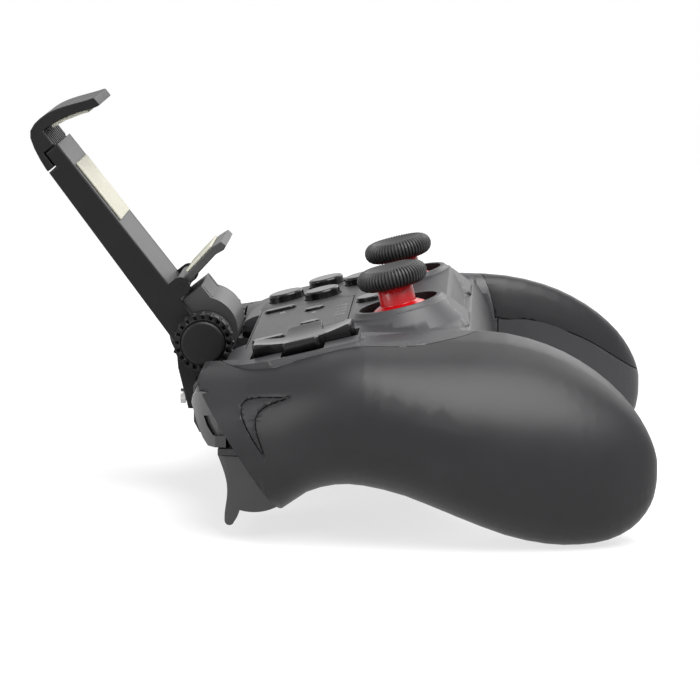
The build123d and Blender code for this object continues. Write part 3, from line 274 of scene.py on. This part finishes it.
def makeMetal():
    material, lab = newLab("steel")
    place = lab.add("TexCoord", {}, {}, "Object")
    fine, long = metal["streak"]
    scale = (1 / (long * mm), 1 / (fine * mm), 1 / (fine * mm))
    stretched = lab.add("Mapping", {}, {"Vector": place, "Scale": scale})
    streaks = lab.add("TexNoise", {}, {"Vector": stretched, "Scale": 1.0, "Detail": 4.0})
    color = lab.shift(metal["dark"], metal["color"], streaks)
    rough = (metal["rough"] + (streaks - 0.5) * metal["spread"]).clamp()
    relief = {"Strength": metal["relief"], "Distance": metal["depth"] * mm, "Height": streaks}
    bump = lab.add("Bump", {}, relief)
    surface = lab.add("BsdfPrincipled", {}, {
        "Base Color": color, "Metallic": 1.0, "Normal": bump, "Roughness": rough})
    lab.add("OutputMaterial", {}, {"Surface": surface})
    return material


# circuit board: cells between the copper tracks and the tracks' height, in mm
board = {"mask": (0.01, 0.1, 0.035, 1), "copper": (0.05, 0.2, 0.07, 1), "rough": 0.35,
         "cell": 3.2, "trackEdge": (0.06, 0.09), "height": 0.03}


def makeBoard():
    material, lab = newLab("board")
    place = lab.add("TexCoord", {}, {}, "Object")
    cells = lab.add("TexVoronoi", {"distance": "MANHATTAN", "feature": "DISTANCE_TO_EDGE"},
                    {"Vector": place, "Scale": 1 / (board["cell"] * mm)})
    inside, outside = board["trackEdge"]
    track = lab.add("ValToRGB", {"stops": [(inside, tone(1.0)), (outside, tone(0.0))]}, {"Fac": cells})
    color = lab.shift(board["mask"], board["copper"], track)
    bump = lab.add("Bump", {}, {"Distance": board["height"] * mm, "Height": track})
    surface = lab.add("BsdfPrincipled", {}, {
        "Base Color": color, "Roughness": board["rough"], "Normal": bump})
    lab.add("OutputMaterial", {}, {"Surface": surface})
    return material


materials = {name: makeMoulded(name, look) for name, look in finishes.items()}
materials["steel"] = makeMetal()
materials["board"] = makeBoard()
print("finishes made:", len(materials))

for name, node in nodes.items():
    node.data.materials.clear()
    node.data.materials.append(materials[slotOf[name]])


def addPiece(name, mesh, body, slot, replaced):
    piece = addObject(name, mesh)
    if not mesh.materials:
        mesh.materials.append(materials[slot])
    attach(piece, body)
    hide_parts(replaced)


# moulded edges: the rounding of each piece's sharp edges in mm (0 leaves them), and the angle in degrees
# from which an edge is sharp; corners nearer than merge are one, faces flatter than flat are one
edges = {
    "merge": 0.002, "flat": 0.5, "segments": 2, "angle": 30,
    "angles": {"left_grip": 32, "right_grip": 32, "top_shell": 24, "bottom_shell": 28},
    "rounding": {
        "left_grip": 0.0, "right_grip": 0.0, "top_shell": 0.0, "bottom_shell": 0.0, "center_panel": 0.0,
        "front_bridge": 0.25, "clamp_base": 0.25, "clamp_arm": 0.35, "arm_cover": 0.12, "hinge_barrel": 0.3,
        "upper_jaw": 0.4, "jaw_slider": 0.08, "lower_jaw": 0.3, "lower_jaw_pad": 0.2, "upper_jaw_pad": 0.2,
        "arm_pad": 0.2, "hinge_rings": 0.0, "hinge_caps": 0.0, "dpad": 0.0, "left_bumper": 0.3,
        "right_bumper": 0.3, "left_trigger": 0.3, "right_trigger": 0.3, "left_stick_stem": 0.0,
        "right_stick_stem": 0.0, "south_button": 0.0, "north_button": 0.0, "west_button": 0.0,
        "east_button": 0.0, "turbo_button": 0.0, "clear_button": 0.0, "select_button": 0.0,
        "start_button": 0.0, "home_button": 0.0, "led_guide": 0.0, "motors": 0.0, "hinge_bolt": 0.15,
        "usb_socket": 0.05},
}


def weighNormals(mesh):
    # vertex normals weighted by face area, so that large faces stay even beside small ones
    holder = addObject("holder", mesh)
    modifier = holder.modifiers.new("weights", "WEIGHTED_NORMAL")
    modifier.keep_sharp = True
    return takeMesh(holder)


def finishEdges(name, rounding):
    angle, flat = radians(edges["angles"].get(name, edges["angle"])), radians(edges["flat"])
    mesh = nodes[name].data.copy()
    work = bmesh.new()
    work.from_mesh(mesh)
    bmesh.ops.remove_doubles(work, verts=work.verts, dist=edges["merge"] * mm)
    if rounding:
        bmesh.ops.dissolve_limit(work, angle_limit=flat, verts=work.verts, edges=work.edges)
        sharp = [edge for edge in work.edges if len(edge.link_faces) == 2 and edge.calc_face_angle(0) > angle]
        bmesh.ops.bevel(work, geom=sharp, offset=rounding * mm, segments=edges["segments"], profile=0.5,
                        affect="EDGES", clamp_overlap=True)
    work.to_mesh(mesh)
    work.free()
    mesh.shade_smooth()
    mesh.set_sharp_from_angle(angle=angle)
    addPiece(name + ".finish", weighNormals(mesh), bodyOf[name], slotOf[name], name)


for name, rounding in edges["rounding"].items():
    finishEdges(name, rounding)
print("edges finished:", len(edges["rounding"]))


def onFace(x, v, w):
    # x across, v along and w above the face plate
    lean = radians(facePlate["lean"])
    y = facePlate["y"] + v * cos(lean) + w * sin(lean)
    z = facePlate["z"] - v * sin(lean) + w * cos(lean)
    return Matrix.Translation((x * mm, y * mm, z * mm)) @ Matrix.Rotation(-lean, 4, "X")


def latheMesh(name, profile, steps):
    # a solid of revolution about z from (radius, height) points, the first and last on the axis
    work = bmesh.new()
    rows = []
    for radius, height in profile:
        turns = [2 * pi * step / steps for step in range(steps if radius else 1)]
        rows.append([work.verts.new((radius * cos(turn), radius * sin(turn), height)) for turn in turns])
    for low, high in zip(rows, rows[1:]):
        for step in range(steps):
            below = [low[i % len(low)] for i in (step, step + 1)]
            above = [high[i % len(high)] for i in (step + 1, step)]
            work.faces.new(list(dict.fromkeys(below + above)))   # a triangle where a row is one point
    bmesh.ops.recalc_face_normals(work, faces=work.faces)
    mesh = bpy.data.meshes.new(name)
    work.to_mesh(mesh)
    work.free()
    mesh.shade_smooth()
    return mesh


class Maker:
    # a geometry node tree with named inputs
    def __init__(self, name, inputs):
        self.tree = bpy.data.node_groups.new(name, "GeometryNodeTree")
        for label, kind in inputs.items():
            self.tree.interface.new_socket(label, in_out="INPUT", socket_type="NodeSocket" + kind)
        self.tree.interface.new_socket("Geometry", in_out="OUTPUT", socket_type="NodeSocketGeometry")
        self.given = self.tree.nodes.new("NodeGroupInput").outputs

    def add(self, kind, settings=None, inputs=None, out=0):
        node = self.tree.nodes.new(kind)
        for key, value in (settings or {}).items():
            setattr(node, key, value)
        for key, value in (inputs or {}).items():
            if isinstance(value, bpy.types.NodeSocket):
                self.tree.links.new(value, node.inputs[key])
            else:
                node.inputs[key].default_value = value
        return node.outputs[out]

    def reckon(self, operation, first, second):
        return self.add("ShaderNodeMath", {"operation": operation}, {0: first, 1: second})

    def finish(self, geometry):
        whole = self.add("GeometryNodeRealizeInstances", {}, {0: geometry})
        coated = self.add("GeometryNodeSetMaterial", {}, {0: whole, 2: self.given["Finish"]})
        end = self.tree.nodes.new("NodeGroupOutput")
        self.tree.links.new(coated, end.inputs[0])

    def bake(self, name, values):
        # a plain mesh of the tree's result for these values
        holder = addObject(name, bpy.data.meshes.new(name))
        modifier = holder.modifiers.new("maker", "NODES")
        modifier.node_group = self.tree
        for item in self.tree.interface.items_tree:
            if item.in_out == "INPUT":
                modifier[item.identifier] = values[item.name]
        return takeMesh(holder)


# ribs round a cap's rim in mm: radius is a rib's own, reach how far it goes round the rim in degrees, sunk
# how far its middle lies inside the cap's radius, narrower how much less the cap's body is; points and sides
# divide a rib
capRibs = {"count": 60, "radius": 0.34, "reach": 82.0, "sunk": 0.12, "narrower": 0.42,
           "points": 9, "sides": 6}


def makeRibTree():
    # an arc in a plane through the axis, swept and repeated
    maker = Maker("rimRibs", {"Count": "Int", "Rib": "Float", "Rim": "Float", "Cap": "Float",
                              "Reach": "Float", "Finish": "Material"})
    given = maker.given
    sweep = maker.reckon("MULTIPLY", given["Reach"], 2.0)
    start = maker.reckon("MULTIPLY", given["Reach"], -1.0)
    arc = maker.add("GeometryNodeCurveArc", {"mode": "RADIUS"}, {
        "Resolution": capRibs["points"], "Radius": given["Rim"], "Start Angle": start, "Sweep Angle": sweep})
    across = maker.reckon("SUBTRACT", given["Cap"], given["Rim"])
    offset = maker.add("ShaderNodeCombineXYZ", {}, {0: across})
    upright = (pi / 2, 0, 0)
    raised = maker.add("GeometryNodeTransform", {}, {0: arc, "Translation": offset, "Rotation": upright})
    circle = maker.add("GeometryNodeCurvePrimitiveCircle", {}, {
        "Resolution": capRibs["sides"], "Radius": given["Rib"]})
    swept = {"Curve": raised, "Profile Curve": circle, "Fill Caps": True}
    rib = maker.add("GeometryNodeCurveToMesh", {}, swept)
    ring = maker.add("GeometryNodeMeshCircle", {}, {"Vertices": given["Count"], "Radius": 0.0})
    index = maker.add("GeometryNodeInputIndex")
    step = maker.reckon("DIVIDE", 2 * pi, given["Count"])
    turn = maker.add("ShaderNodeCombineXYZ", {}, {2: maker.reckon("MULTIPLY", index, step)})
    ribs = maker.add("GeometryNodeInstanceOnPoints", {}, {"Points": ring, "Instance": rib, "Rotation": turn})
    maker.finish(ribs)
    return maker


ribTree = makeRibTree()
# stick caps in mm: x, v and low place them on the face plate; hub is the hollow under the cap, lip the
# radius of the flat round the dish, and sharp the angle in degrees from which an edge is sharp
stickCap = {
    "x": 25.0, "v": -24.2, "low": 6.4, "height": 4.9, "radius": 8.75, "rim": 2.3, "rimSteps": 14,
    "hubRadius": 2.6, "hubDepth": 0.15, "flat": 0.02, "lip": 6.4, "steps": 96, "sharp": 40,
    "dish": {"radius": 6.1, "edge": 6.3, "depth": 1.3, "sunk": 0.08, "steps": 6},
}


def capProfile():
    height, rim, flat = stickCap["height"], stickCap["rim"], stickCap["flat"]
    hubRadius, hubDepth, rimSteps = stickCap["hubRadius"], stickCap["hubDepth"], stickCap["rimSteps"]
    reach = stickCap["radius"] - capRibs["narrower"] - rim
    middle = height / 2
    profile = [(0, hubDepth), (hubRadius, hubDepth), (hubRadius, 0.0), (reach, flat)]
    for step in range(1, rimSteps):
        turn = -pi / 2 + pi * step / rimSteps
        profile.append((reach + rim * cos(turn), middle + (middle - flat) * sin(turn)))
    profile.append((stickCap["lip"], height - flat))
    dish = stickCap["dish"]
    for step in range(dish["steps"] + 1):
        across = dish["radius"] * (1 - step / dish["steps"])
        drop = dish["depth"] * (1 - (across / dish["edge"]) ** 2)
        profile.append((across, height - dish["sunk"] - drop))
    return [(radius * mm, z * mm) for radius, z in profile]


def makeStickCap(side, sign):
    rubber = materials["stick_rubber"]
    mesh = latheMesh(side + "StickCap", capProfile(), stickCap["steps"])
    mesh.materials.append(rubber)
    ribs = ribTree.bake("ribs", {
        "Count": capRibs["count"], "Rib": capRibs["radius"] * mm, "Rim": stickCap["rim"] * mm,
        "Cap": (stickCap["radius"] - capRibs["sunk"]) * mm, "Reach": radians(capRibs["reach"]),
        "Finish": rubber})
    ribs.transform(Matrix.Translation((0, 0, stickCap["height"] / 2 * mm)))
    work = bmesh.new()
    work.from_mesh(ribs)
    work.from_mesh(mesh)
    work.to_mesh(mesh)
    work.free()
    mesh.transform(onFace(sign * stickCap["x"], stickCap["v"], stickCap["low"]))
    mesh.shade_smooth()
    mesh.set_sharp_from_angle(angle=radians(stickCap["sharp"]))
    addPiece(side + "StickCap", mesh, side + "_stick", "stick_rubber", side + "_stick_cap")


for side, sign in (("left", -1), ("right", 1)):
    makeStickCap(side, sign)
print("stick caps made")

# floor and light in metres: glow is how white the floor shows under the object, and clear the distances
# between which it turns wholly white
studio = {"half": 8.0, "floor": 0.92, "glow": 0.72, "clear": (0.25, 0.75), "world": 0.3, "lamps": {
    "top": {"place": (-0.45, -0.35, 1.2), "aim": (0, -0.03, 0.04), "size": (0.9, 1.3), "power": 40.0},
    "front": {"place": (-0.75, 1.15, 0.55), "aim": (0, 0.02, 0.05), "size": (0.6, 0.8), "power": 9.0},
    "back": {"place": (1.0, -0.5, 0.8), "aim": (0, -0.03, 0.05), "size": (0.8, 0.8), "power": 6.0},
}}


def seenDirectly(lab):
    # 1 where the camera, a reflection or a clear piece looks at the surface, else 0
    names = ("Is Camera Ray", "Is Glossy Ray", "Is Transmission Ray")
    rays = [lab.add("LightPath", {}, {}, name) for name in names]
    return (rays[0] + rays[1] + rays[2]).clamp()


def makeFloor():
    mesh = bpy.data.meshes.new("floor")
    half = studio["half"]
    corners = [(-half, -half, 0), (half, -half, 0), (half, half, 0), (-half, half, 0)]
    mesh.from_pydata(corners, [], [(0, 1, 2, 3)])
    floor = addObject("floor", mesh)
    material, lab = newLab("floorPaper")
    seen = seenDirectly(lab)
    place = lab.add("TexCoord", {}, {}, "Object")
    away = lab.add("VectorMath", {"operation": "LENGTH"}, {0: place}, "Value")
    near, far = studio["clear"]
    clear = ((away - near) / (far - near)).clamp()
    share = clear * (1 - studio["glow"]) + studio["glow"]
    matt = lab.add("BsdfDiffuse", {}, {"Color": tone(studio["floor"])})
    glow = lab.add("Emission", {}, {"Color": tone(1.0), "Strength": 1.0})
    surface = lab.add("MixShader", {}, {0: seen * share, 1: matt, 2: glow})
    lab.add("OutputMaterial", {}, {"Surface": surface})
    mesh.materials.append(material)


def makeWorld():
    world = bpy.data.worlds.new("studio")
    world.use_nodes = True
    lab = Lab(world.node_tree)
    strength = studio["world"] + seenDirectly(lab) * (1 - studio["world"])
    sky = lab.add("Background", {}, {"Color": tone(1.0), "Strength": strength})
    lab.add("OutputWorld", {}, {"Surface": sky})
    bpy.context.scene.world = world


def makeLamp(name, lamp):
    data = bpy.data.lights.new(name, "AREA")
    data.shape = "RECTANGLE"
    data.size, data.size_y = lamp["size"]
    data.energy = lamp["power"]
    light = addObject(name, data)
    aim = Vector(lamp["aim"]) - Vector(lamp["place"])
    turn = aim.to_track_quat("-Z", "Y").to_matrix().to_4x4()
    light.matrix_world = Matrix.Translation(lamp["place"]) @ turn


makeFloor()
makeWorld()
for name, lamp in studio["lamps"].items():
    makeLamp(name, lamp)
print("studio lit")
